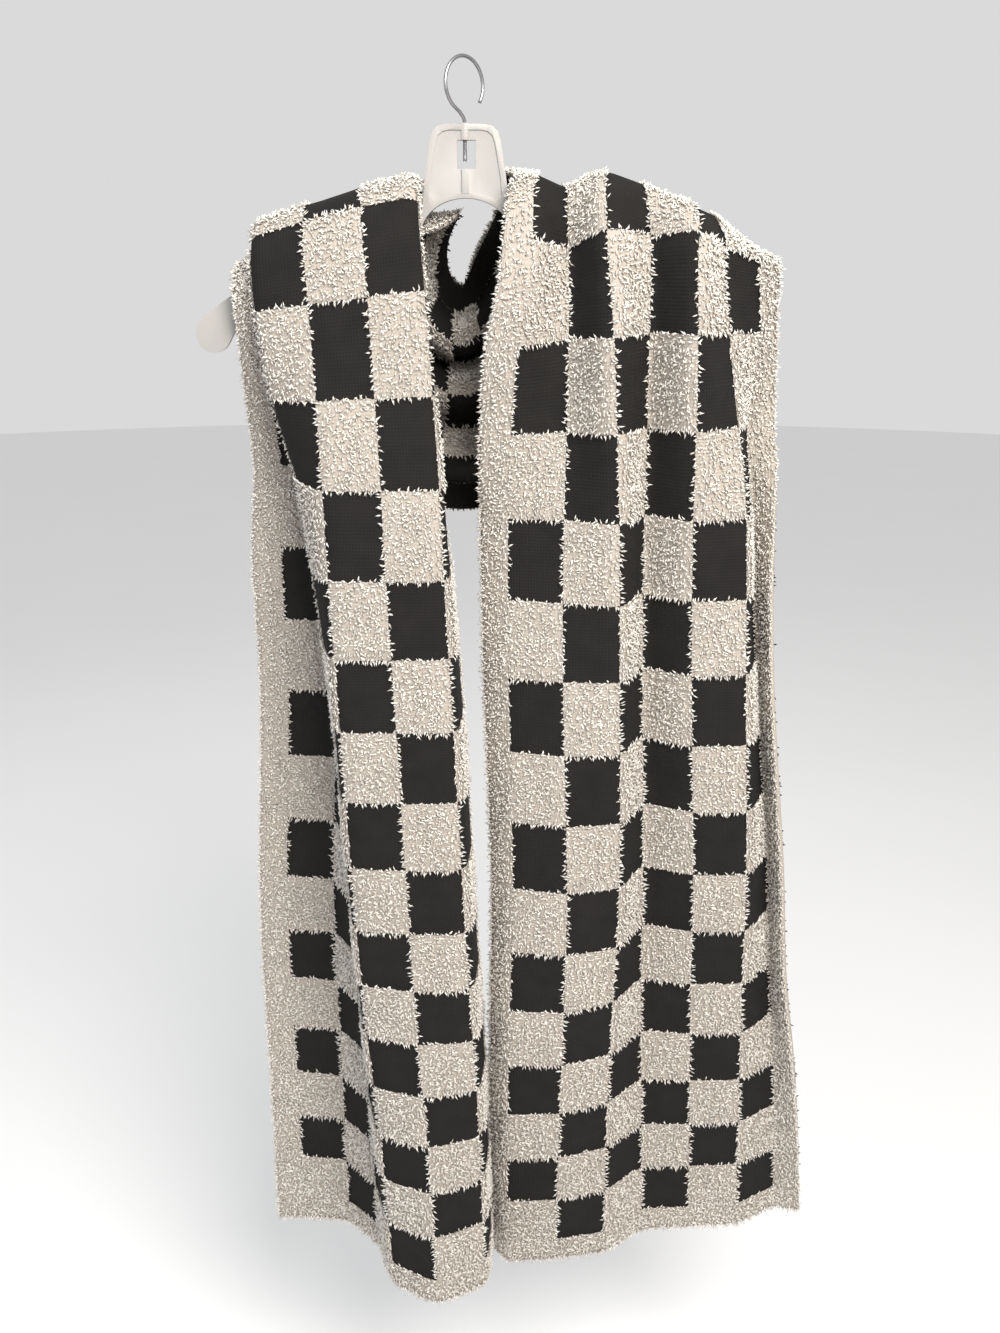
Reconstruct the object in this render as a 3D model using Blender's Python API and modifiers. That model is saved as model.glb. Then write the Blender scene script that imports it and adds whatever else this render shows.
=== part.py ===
"""A knitted check scarf hung over a plastic hanger with a wire hook.

Metres, +Z up, and -Y is the side that shows the two ends. The origin is the inside of the hook's top,
where a rail would carry it. The scarf is one strip of double knit. It is built as three stretches that
meet over the hanger's arms: the left end, the back and the right end.

The strip's shape comes from one table of stations along its length. Each station says where the strip's
middle line is, which way the strip lies across, which way its outer face looks, and how far each of its
eight bands (a border, six columns of checks, a border) is turned by the folds.
"""

import math

import bmesh
import bpy
from mathutils import Matrix, Vector

MM = 0.001

# The strip as it was knitted, in millimetres
BORDER = 24.0
CHECK_WIDTH = 45.0
CHECK_HEIGHT = 50.0
COLUMNS = 6
ROWS = 40
WALL = 4.6
SEAM_GAP = 0.8
BANDS = [BORDER] + [CHECK_WIDTH] * COLUMNS + [BORDER]
STRIP_WIDTH = sum(BANDS)

# Where the bands that can be drawn together end and begin, and the width over which the drawing fades
INNER_BUNCH = BORDER + CHECK_WIDTH
OUTER_BUNCH = STRIP_WIDTH - BORDER - 2 * CHECK_WIDTH
BUNCH_FADE = 30.0

# How much of the way from one band's middle to the next the fold between them takes
FOLD_SHARE = 0.6

# The mesh of the strip
CELLS_ACROSS = 30
CELL_LENGTH = 17.0
# The last cell at each end is short, so that the walls of two stretches end square to the same surface
END_CELL = 1.0

# The two rows at which one stretch ends over an arm and the next begins
LEFT_RIDGE = 16.75
RIGHT_RIDGE = 24.1

# One row for each station. The bands' turns are in degrees, from the inner edge, by the neck, to the
# outer edge. A positive turn brings the strip outwards, to the side that its outer face looks to.
#   row: rows of checks from the left hem
#   x, y, z: the strip's middle line, in millimetres
#   tilt: rise of the strip towards its outer edge, 0 on the left, -90 at the back, -180 on the right
#   bend: what the outer half's tilt has more than the inner half's
#   face: where the outer face looks, 0 to the front, 90 up, 180 to the back, 360 to the front again
#   width: how far the knit is drawn in across
#   inner, outer: how far the two inner bands and the three outer ones are bunched together
STATIONS = (
    # row,   x,   y,     z, tilt, bend, face, width, inner, outer, turns of the eight bands
    (-0.48, -68, -74, -999, 0, 0, 0, 1.00, 1.0, 1.0, (104, 86, 28, -30, -72, -44, -6, 0)),
    (3.0, -77, -68, -845, 0, 0, 0, 1.00, 1.0, 1.0, (104, 86, 18, -22, -78, -50, -8, 0)),
    (5.0, -85, -63, -750, 0, 0, 0, 1.00, 1.0, 1.0, (104, 86, 5, -15, -82, -56, -8, 0)),
    (7.0, -91, -60, -651, 0, 0, 0, 0.99, 1.0, 1.0, (104, 86, 0, -8, -84, -64, -8, 0)),
    (10.0, -98, -55, -481, 0, 0, -2, 0.97, 1.0, 1.0, (104, 87, 0, 0, -80, -90, -6, 0)),
    (12.0, -103, -50, -362, 0, 0, -5, 0.96, 1.0, 1.0, (108, 92, 0, 0, -68, -108, -5, 0)),
    (13.0, -105, -45, -295, 0, 0, -6, 0.95, 1.0, 0.9, (118, 102, 0, 0, -55, -126, -4, 0)),
    (14.0, -108, -40, -231, -2, 0, -4, 0.94, 0.9, 0.8, (135, 120, 0, 5, -28, -150, -4, 0)),
    (15.0, -111, -37, -164, -7, 0, 4, 0.94, 0.75, 0.7, (165, 155, 5, 0, -4, -174, 0, 0)),
    (15.8, -113, -32, -118, -13, 0, 40, 0.935, 0.65, 0.74, (178, 176, 5, 0, -2, -170, 4, -5)),
    (16.5, -113, -4, -98, -17, 0, 90, 0.935, 0.65, 0.74, (180, 180, 5, 0, 0, -170, 4, -10)),
    (17.3, -104, 47, -124, -32, 0, 140, 0.94, 0.6, 0.72, (115, 105, 30, -20, 0, -165, 0, 0)),
    (18.6, -66, 64, -193, -55, 0, 168, 0.95, 0.9, 0.9, (20, -50, 76, -66, 56, -80, 50, 0)),
    (20.3, -6, 66, -236, -90, 0, 180, 0.97, 1.0, 1.0, (0, -70, 80, -72, 56, -80, 60, 0)),
    (22.0, 60, 62, -190, -130, 0, 192, 0.95, 1.0, 1.0, (30, -70, 78, -66, 60, -70, 64, 10)),
    (23.3, 106, 42, -116, -166, 16, 225, 0.84, 1.0, 0.9, (0, -72, 72, -52, 34, 0, 10, 0)),
    (24.3, 125, -2, -84, -181, 27, 270, 0.62, 0.85, 1.0, (0, -24, 24, -20, 0, 10, -14, -14)),
    (24.7, 130, -16, -97, -184, 24, 320, 0.76, 0.95, 0.8, (0, -46, 46, -32, 24, -28, -8, -10)),
    (25.2, 133, -18, -131, -188, 14, 352, 0.90, 1.0, 0.74, (0, -52, 58, -46, 50, -52, -16, -16)),
    (26.0, 134, -17, -184, -185, 6, 360, 0.95, 1.0, 0.82, (0, -30, 54, -58, 50, -50, -38, -40)),
    (27.0, 136, -7, -254, -182, 2, 360, 0.95, 1.0, 1.0, (8, -8, 42, -63, 46, -38, -74, 0)),
    (28.0, 137, 0, -322, -180, 0, 360, 0.96, 1.0, 1.0, (26, 8, 26, -68, 42, -14, -80, 50)),
    (30.0, 140, 0, -447, -180, 0, 360, 0.97, 1.0, 1.0, (36, 14, 4, -68, 36, -4, -74, 74)),
    (33.0, 147, 0, -626, -180, 0, 360, 0.99, 1.0, 1.0, (46, 12, -12, -64, 24, 0, -60, 76)),
    (35.0, 149, 0, -737, -180, 0, 360, 1.00, 1.0, 1.0, (52, 4, -20, -56, 12, 0, -50, 74)),
    (37.0, 153, 0, -842, -181, 0, 360, 1.00, 1.0, 1.0, (54, 0, -18, -46, 5, 0, -38, 56)),
    (40.48, 160, 0, -1011, -184, 0, 360, 1.00, 1.0, 1.0, (60, 0, -6, -34, 0, 0, -27, 20)),
)

# The hanger's outline in front view, to one side of its middle, in millimetres. The other is its mirror.
HANGER_MIDDLE_X = 0.3
HANGER_THICKNESS = 5.0
PLATE_TOP = (23.0, -43.0)
PLATE_SHOULDER = (29.0, -79.0)
LEG_TIP = (33.0, -117.0)
ARCH_TOP_Z = -91.0
ARM_TOP = ((32.0, -93.0), (50.0, -107.0), (82.0, -124.0), (116.0, -138.0), (150.0, -151.0), (172.0, -157.0))
ARM_BOTTOM = ((166.0, -174.0), (146.0, -169.0), (116.0, -158.0), (72.0, -142.0))
PADDLE_CENTRE = (188.0, -186.0)
PADDLE_RADIUS = 14.0
PADDLE_TURNS = (-35, -80, -125, -170, -215)
# Where the two halves of the outline meet on the plate's top edge, and how far a corner's arc reaches
TOP_START_X = 2.0
CORNER_RADIUS = 10.0

# What stands on the neck plate: its rim, the boss that the wire turns in, the rib, and the window
RIM_THICKNESS = 7.0
RIM_OVERHANG = 0.4
RIM_INNER_SIDE = ((19.6, -46.4), (25.5, -79.0), (26.0, -90.0))
RIM_ARCH_WIDTH = 3.6
BOSS_RADIUS = 4.0
BOSS_Z = (-53.5, -42.0)
RIB_WIDTH = 5.0
RIB_Z = (-88.5, -71.5)
RIB_THICKNESS = 7.5
WINDOW_X = (-5.5, 7.9)
WINDOW_Z = (-72.0, -53.0)
BORE_CLEARANCE = 0.35

# The hook
WIRE = 2.6
HOOK_RADIUS = 18.0
HOOK_TURN = 45.0
HOOK_ENDS = (238, -35)
STEM = ((0.0, -66.0), (0.0, -55.0), (0.0, -41.0), (-1.0, -38.3), (-4.8, -34.8))
HEAD_RADIUS = 2.9
HEAD_HEIGHT = 2.4


def smooth(t):
    """A step from 0 to 1 with level ends."""
    t = min(max(t, 0.0), 1.0)
    return t * t * (3.0 - 2.0 * t)


def station_values(row):
    """The table read at any row of checks, on a smooth curve through its stations."""
    rows = [station[0] for station in STATIONS]
    last = len(rows) - 2
    i = next((n for n in range(last + 1) if row < rows[n + 1]), last)
    flat = [list(station[1:-1]) + list(station[-1]) for station in STATIONS]
    before, start = flat[max(i - 1, 0)], flat[i]
    end, after = flat[i + 1], flat[min(i + 2, last + 1)]
    span = rows[i + 1] - rows[i]
    t = (row - rows[i]) / span
    values = []
    for k in range(len(start)):
        rise_in = (end[k] - before[k]) / (rows[i + 1] - rows[max(i - 1, 0)])
        rise_out = (after[k] - start[k]) / (rows[min(i + 2, last + 1)] - rows[i])
        values.append(
            (2 * t**3 - 3 * t**2 + 1) * start[k]
            + (t**3 - 2 * t**2 + t) * span * rise_in
            + (3 * t**2 - 2 * t**3) * end[k]
            + (t**3 - t**2) * span * rise_out
        )
    return values


def turn_at(across, turns):
    """The turn of the strip at a distance across it, which passes from band to band in soft folds."""
    middle = BANDS[0] / 2
    if across <= middle:
        return turns[0]
    for k in range(len(BANDS) - 1):
        seam = middle + BANDS[k] / 2
        following = seam + BANDS[k + 1] / 2
        if across <= following:
            reach = FOLD_SHARE * min(seam - middle, following - seam)
            t = (across - seam + reach) / (2 * reach)
            return turns[k] + (turns[k + 1] - turns[k]) * smooth(t)
        middle = following
    return turns[-1]


def section(row, cells, steps=4):
    """The points across the strip at one row, from the inner edge to the outer one, in millimetres."""
    x, y, z, tilt, bend, face, width, inner, outer, *turns = station_values(row)
    face = math.radians(face)
    step = STRIP_WIDTH / (cells * steps)
    points = [Vector((0.0, 0.0, 0.0))]
    for n in range(cells * steps):
        place = (n + 0.5) * step
        lean = math.radians(tilt + bend * smooth((place - STRIP_WIDTH / 2) / BUNCH_FADE + 0.5))
        across = Vector((-math.cos(lean), 0.0, math.sin(lean)))
        upward = Vector((math.sin(lean), 0.0, math.cos(lean)))
        outward = Vector((0.0, -math.cos(face), 0.0)) + upward * math.sin(face)
        turn = math.radians(turn_at(place, turns))
        drawn = 1.0 - (1.0 - inner) * smooth((INNER_BUNCH - place) / BUNCH_FADE + 0.5)
        drawn -= (1.0 - outer) * smooth((place - OUTER_BUNCH) / BUNCH_FADE + 0.5)
        move = (across * math.cos(turn) + outward * math.sin(turn)) * step * width * drawn
        points.append(points[-1] + move)
    half = points[cells * steps // 2]
    return [Vector((x, y, z)) + point - half for point in points[::steps]]


def material(name, colour, roughness, metallic=0.0):
    made = bpy.data.materials.new(name)
    made.use_nodes = True
    surface = made.node_tree.nodes["Principled BSDF"]
    surface.inputs["Base Color"].default_value = (*colour, 1.0)
    surface.inputs["Roughness"].default_value = roughness
    surface.inputs["Metallic"].default_value = metallic
    return made


def put_in(collection, name, mesh, finish):
    made = bpy.data.objects.new(name, mesh)
    made.data.materials.append(finish)
    collection.objects.link(made)
    return made


def strip_grid(name, first, last):
    """A grid of the strip between two rows, laid through the sections."""
    length = abs(last - first) * CHECK_HEIGHT
    along = max(2, round(length / CELL_LENGTH))
    end = END_CELL / length
    shares = [0.0, end, *[n / along for n in range(1, along)], 1.0 - end, 1.0]
    grid = bmesh.new()
    bmesh.ops.create_grid(grid, x_segments=CELLS_ACROSS, y_segments=along + 2, size=0.5)
    places = [section(first + (last - first) * share, CELLS_ACROSS) for share in shares]
    for vert in grid.verts:
        i = round((vert.co.x + 0.5) * CELLS_ACROSS)
        j = round((vert.co.y + 0.5) * (along + 2))
        vert.co = places[j][i] * MM
    mesh = bpy.data.meshes.new(name)
    grid.to_mesh(mesh)
    grid.free()
    return mesh


def stretch(collection, name, first, last, finish):
    """One stretch of the scarf: an open sheet through the strip's middle, with a wall."""
    made = put_in(collection, name, strip_grid(name, first, last), finish)
    wall = made.modifiers.new("Wall", "SOLIDIFY")
    wall.thickness = WALL * MM
    wall.offset = 0.0
    wall.use_even_offset = False
    made.data.shade_smooth()
    return made


def rounded(points, radius, steps=4):
    """A line with its corners turned into short arcs. Its two ends stay where they are."""
    result = [Vector(points[0])]
    for k in range(1, len(points) - 1):
        corner = Vector(points[k])
        before = Vector(points[k - 1]) - corner
        after = Vector(points[k + 1]) - corner
        reach = min(radius, 0.48 * before.length, 0.48 * after.length)
        start = corner + before.normalized() * reach
        end = corner + after.normalized() * reach
        for n in range(steps + 1):
            t = n / steps
            result.append(start.lerp(corner, t).lerp(corner.lerp(end, t), t))
    result.append(Vector(points[-1]))
    return result


def flat_outline(name, outlines, thickness):
    """A plate in the X-Y plane, filled from its outline. A second outline inside the first is a hole."""
    curve = bpy.data.curves.new(name, "CURVE")
    curve.dimensions = "2D"
    curve.fill_mode = "BOTH"
    curve.extrude = thickness * MM / 2
    for outline in outlines:
        spline = curve.splines.new("POLY")
        spline.points.add(len(outline) - 1)
        for point, place in zip(spline.points, outline):
            point.co = (place[0] * MM, place[1] * MM, 0.0, 1.0)
        spline.use_cyclic_u = True
    return curve


def round_wire(name, places, radius):
    """A round wire through its places, with flat ends."""
    curve = bpy.data.curves.new(name, "CURVE")
    curve.dimensions = "3D"
    curve.bevel_depth = radius * MM
    curve.bevel_resolution = 2
    curve.use_fill_caps = True
    spline = curve.splines.new("POLY")
    spline.points.add(len(places) - 1)
    for point, place in zip(spline.points, places):
        point.co = (place[0] * MM, place[1] * MM, place[2] * MM, 1.0)
    return curve


def mesh_of_curve(curve, place):
    """The curve's solid as a mesh, with its caps welded on."""
    guide = bpy.data.objects.new(curve.name + "_guide", curve)
    bpy.context.scene.collection.objects.link(guide)
    graph = bpy.context.evaluated_depsgraph_get()
    mesh = bpy.data.meshes.new_from_object(guide.evaluated_get(graph))
    solid = bmesh.new()
    solid.from_mesh(mesh)
    bmesh.ops.remove_doubles(solid, verts=solid.verts, dist=1e-6)
    bmesh.ops.transform(solid, matrix=place, verts=solid.verts)
    bmesh.ops.recalc_face_normals(solid, faces=solid.faces)
    solid.to_mesh(mesh)
    solid.free()
    bpy.data.objects.remove(guide, do_unlink=True)
    return mesh


def block_mesh(name, x, y, z):
    """A block between two values in each direction, in millimetres."""
    solid = bmesh.new()
    size = Vector((x[1] - x[0], y[1] - y[0], z[1] - z[0])) * MM
    middle = Vector((x[0] + x[1], y[0] + y[1], z[0] + z[1])) * MM / 2
    place = Matrix.Translation(middle) @ Matrix.Diagonal((*size, 1.0))
    bmesh.ops.create_cube(solid, size=1.0, matrix=place)
    mesh = bpy.data.meshes.new(name)
    solid.to_mesh(mesh)
    solid.free()
    return mesh


def rod_mesh(name, x, z, radius, segments):
    """An upright rod between two heights, in millimetres."""
    solid = bmesh.new()
    place = Matrix.Translation((x * MM, 0.0, (z[0] + z[1]) * MM / 2))
    bmesh.ops.create_cone(
        solid, cap_ends=True, segments=segments, radius1=radius * MM, radius2=radius * MM,
        depth=(z[1] - z[0]) * MM, matrix=place,
    )
    mesh = bpy.data.meshes.new(name)
    solid.to_mesh(mesh)
    solid.free()
    return mesh


def arch(first, lift):
    """The arch under the neck plate, from the right leg to the left one."""
    turns = [math.radians(turn) for turn in range(first, 181 - first, 10)]
    rise = ARCH_TOP_Z - LEG_TIP[1]
    return [(HANGER_MIDDLE_X + LEG_TIP[0] * math.cos(a), LEG_TIP[1] + rise * math.sin(a) + lift) for a in turns]


def both_sides(half):
    """One side's outline from the top down, and the same on the other side from the bottom up."""
    right = [(HANGER_MIDDLE_X + p[0], p[1]) for p in half]
    left = [(HANGER_MIDDLE_X - p[0], p[1]) for p in reversed(half)]
    return rounded(right, CORNER_RADIUS, 3), rounded(left, CORNER_RADIUS, 3)


def hanger_outline():
    """The whole outline in front view, once round."""
    half = [(TOP_START_X, PLATE_TOP[1]), PLATE_TOP, PLATE_SHOULDER, *ARM_TOP]
    for turn in PADDLE_TURNS:
        angle = math.radians(turn + 90)
        half.append((PADDLE_CENTRE[0] + PADDLE_RADIUS * math.cos(angle),
                     PADDLE_CENTRE[1] + PADDLE_RADIUS * math.sin(angle)))
    half += [*ARM_BOTTOM, LEG_TIP]
    right, left = both_sides(half)
    return right + arch(20, 0.0) + left


def rim_outlines():
    """The raised rim round the neck plate: its outer line and its inner one."""
    line = ((TOP_START_X, PLATE_TOP[1]), PLATE_TOP, PLATE_SHOULDER, LEG_TIP)
    right, left = both_sides([(p[0] + RIM_OVERHANG, p[1] + RIM_OVERHANG) for p in line])
    inner_right, inner_left = both_sides([(TOP_START_X, RIM_INNER_SIDE[0][1]), *RIM_INNER_SIDE])
    return [right + arch(20, -RIM_OVERHANG) + left, inner_right + arch(50, RIM_ARCH_WIDTH) + inner_left]


def hook_path():
    """The wire's middle line: up from its head in the window, and round the hook."""
    flat = list(STEM)
    first, last = HOOK_ENDS
    steps = 20
    centre = WIRE / 2 - HOOK_RADIUS
    for n in range(steps + 1):
        angle = math.radians(first + (last - first) * n / steps)
        flat.append((HOOK_RADIUS * math.cos(angle), centre + HOOK_RADIUS * math.sin(angle)))
    turn = math.radians(HOOK_TURN)
    return [(s * math.cos(turn), s * math.sin(turn), z) for s, z in flat]


def combine(body, pieces, other, operation):
    """Joins a hidden solid to the body, or cuts it away."""
    pieces.objects.link(other)
    other.hide_render = True
    other.display_type = "WIRE"
    change = body.modifiers.new(other.name, "BOOLEAN")
    change.operation = operation
    change.solver = "EXACT"
    change.object = other


def main():
    for old in list(bpy.data.objects):
        bpy.data.objects.remove(old, do_unlink=True)
    parts = bpy.data.collections.new("Check scarf on hanger")
    pieces = bpy.data.collections.new("Joined pieces and cutters")
    for made in (parts, pieces):
        bpy.context.scene.collection.children.link(made)
    knit = material("Cream and black chenille knit", (0.55, 0.52, 0.46), 0.95)
    plastic = material("Milky plastic", (0.80, 0.80, 0.80), 0.35)
    steel = material("Steel wire", (0.50, 0.50, 0.52), 0.25, 1.0)
    half_gap = SEAM_GAP / CHECK_HEIGHT / 2
    hem = BORDER / CHECK_HEIGHT
    stretch(parts, "scarf_left_end", -hem, LEFT_RIDGE - half_gap, knit)
    stretch(parts, "scarf_back", LEFT_RIDGE + half_gap, RIGHT_RIDGE - half_gap, knit)
    stretch(parts, "scarf_right_end", RIGHT_RIDGE + half_gap, ROWS + hem, knit)

    upright = Matrix.Rotation(math.radians(90), 4, "X")
    plate = mesh_of_curve(flat_outline("hanger_body", [hanger_outline()], HANGER_THICKNESS), upright)
    body = put_in(parts, "hanger_body", plate, plastic)
    rim = mesh_of_curve(flat_outline("rim", rim_outlines(), RIM_THICKNESS), upright)
    boss = rod_mesh("boss", 0.0, BOSS_Z, BOSS_RADIUS, 20)
    rib_x = (-RIB_WIDTH / 2 + HANGER_MIDDLE_X, RIB_WIDTH / 2 + HANGER_MIDDLE_X)
    rib = block_mesh("rib", rib_x, (-RIB_THICKNESS / 2, RIB_THICKNESS / 2), RIB_Z)
    window = block_mesh("window", WINDOW_X, (-HANGER_THICKNESS * 2, HANGER_THICKNESS * 2), WINDOW_Z)
    bore = rod_mesh("bore", 0.0, (WINDOW_Z[1] - 3, BOSS_Z[1] + 3), WIRE / 2 + BORE_CLEARANCE, 20)
    for mesh, operation in ((rim, "UNION"), (boss, "UNION"), (rib, "UNION"),
                            (window, "DIFFERENCE"), (bore, "DIFFERENCE")):
        combine(body, pieces, bpy.data.objects.new(mesh.name, mesh), operation)

    wire = mesh_of_curve(round_wire("hanger_hook", hook_path(), WIRE / 2), Matrix.Identity(4))
    hook = put_in(parts, "hanger_hook", wire, steel)
    head = rod_mesh("head", 0.0, (STEM[0][1] - HEAD_HEIGHT / 2, STEM[0][1] + HEAD_HEIGHT / 2), HEAD_RADIUS, 20)
    combine(hook, pieces, bpy.data.objects.new("head", head), "UNION")


if __name__ == "__main__":
    main()
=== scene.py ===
"""A knitted check scarf over its plastic hanger: the cloth, its pile, the hanger, the hook and a studio.

Metres, +Z up, -Y towards the viewer. The cloth is one strip. It follows the same table of stations as
the solids do. Its cream yarn is a fuzzy pile of short strands, and its dark yarn is smooth.
"""

import functools
import math

import bmesh
import bpy
import numpy as np
from bpy.props import FloatProperty, FloatVectorProperty, PointerProperty
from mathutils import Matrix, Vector


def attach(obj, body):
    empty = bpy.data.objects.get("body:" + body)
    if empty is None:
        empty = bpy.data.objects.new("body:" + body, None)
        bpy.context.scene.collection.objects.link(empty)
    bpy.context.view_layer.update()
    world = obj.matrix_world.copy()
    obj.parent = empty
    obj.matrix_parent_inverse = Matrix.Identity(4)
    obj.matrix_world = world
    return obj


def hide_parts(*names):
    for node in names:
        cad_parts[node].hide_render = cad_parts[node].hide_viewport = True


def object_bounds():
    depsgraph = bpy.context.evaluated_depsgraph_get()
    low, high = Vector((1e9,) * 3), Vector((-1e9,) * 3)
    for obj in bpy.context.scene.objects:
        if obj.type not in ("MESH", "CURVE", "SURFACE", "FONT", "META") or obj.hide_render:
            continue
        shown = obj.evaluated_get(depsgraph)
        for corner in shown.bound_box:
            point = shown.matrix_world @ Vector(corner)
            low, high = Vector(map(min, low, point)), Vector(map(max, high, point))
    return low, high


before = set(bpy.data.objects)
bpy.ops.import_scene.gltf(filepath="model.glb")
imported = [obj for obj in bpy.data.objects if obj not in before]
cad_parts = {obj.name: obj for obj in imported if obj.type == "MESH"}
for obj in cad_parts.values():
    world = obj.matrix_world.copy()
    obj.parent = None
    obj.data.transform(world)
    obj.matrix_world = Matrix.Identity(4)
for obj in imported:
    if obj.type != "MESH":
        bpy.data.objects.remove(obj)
CAD_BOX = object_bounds()

bl_info = {
    "name": "Check scarf on a hanger",
    "version": (1, 0, 0),
    "blender": (4, 5, 0),
    "location": "3D View > Sidebar > Scarf",
    "description": "Builds a fuzzy knitted check scarf that hangs over a plastic hanger",
    "category": "Object",
}

MM = 0.001
BODY = "root"

# The strip as it was knitted, in millimetres. HEM is the border of a hem, in rows of checks
BORDER = 24.0
CHECK_WIDTH = 45.0
CHECK_HEIGHT = 50.0
COLUMNS = 6
ROWS = 40
BANDS = [BORDER] + [CHECK_WIDTH] * COLUMNS + [BORDER]
STRIP_WIDTH = sum(BANDS)
STRIP_LENGTH = ROWS * CHECK_HEIGHT + 2 * BORDER
HEM = BORDER / CHECK_HEIGHT

# Where the strip is drawn together along its two long edges, and over what distance that fades, in
# millimetres, and the share of a band that a fold takes up
INNER_BUNCH = BORDER + CHECK_WIDTH
OUTER_BUNCH = STRIP_WIDTH - BORDER - 2 * CHECK_WIDTH
BUNCH_FADE = 30.0
FOLD_SHARE = 0.6

# The cloth's lattice, and the steps in which each of its cells is added up across the strip
CELLS_ACROSS = 90
CELLS_ALONG = 410
CELL_STEPS = 3

# The rows that lie over the hanger's two arms, and the rows where the front's pile is parted in two pieces
LEFT_RIDGE = 16.0
RIGHT_RIDGE = 24.6
LEFT_PARTING = 9.0
RIGHT_PARTING = 33.0

# A strand: how deep it is rooted and how far it arches, in metres, how steeply it stands, in degrees, the
# spread of its length and its width, as factors, the spread of its tone, and the painted shade that its
# roots start at, which darkens them for the shade deep in the pile
ROOT_DEPTH = 0.0006
STRAND_ARCH = 0.0007
STRAND_RISE = (12, 50)
STRAND_LENGTHS = (0.65, 1.2)
STRAND_WIDTHS = (0.7, 1.25)
STRAND_TONES = (-0.35, 0.35)
ROOT_SHADE = 0.05

# Where a strand is widest between its root and its tip, and how flat it is there
STRAND_BELLY = 0.45
STRAND_FLATNESS = 0.8

# How strongly a strand leans out over the edge of its check, down, and any way at all, and the distance
# from the edge at which it starts to lean out, in millimetres
LEAN_OUT = 11.0
LEAN_DOWN = 0.3
LEAN_ASTRAY = 0.9
LEAN_REACH = 9

# The strands on the strip's cut sides: the width in which they root, in millimetres, and the factor on
# their length
EDGE_REACH = 1.6
EDGE_LENGTH = 0.7

# The scatter of all the strands is drawn from this
PILE_SEED = 41

# The knit's surface: how ragged a check's edge is, and a stitch's width and height, in millimetres, and how
# much the stitches and the fuzz on them add to its bumps
RAGGED_EDGE = 3.0
STITCH_WIDTH = 2.4
STITCH_HEIGHT = 1.9
STITCH_RELIEF = 0.5
FUZZ_RELIEF = 2.0

# How fine the noise is on each surface, in features to a metre
CHECK_EDGE_GRAIN = 520.0
YARN_GRAIN = 55.0
GROUND_GRAIN = 900.0
KNIT_GRAIN = 1500.0
TIP_GRAIN = 60.0
STRAND_GRAIN = 2600.0
PLASTIC_GRAIN = 38.0
MOULD_GRAIN = 160.0
WIRE_GRAIN = 90.0
FLOOR_GRAIN = 3.0

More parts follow.
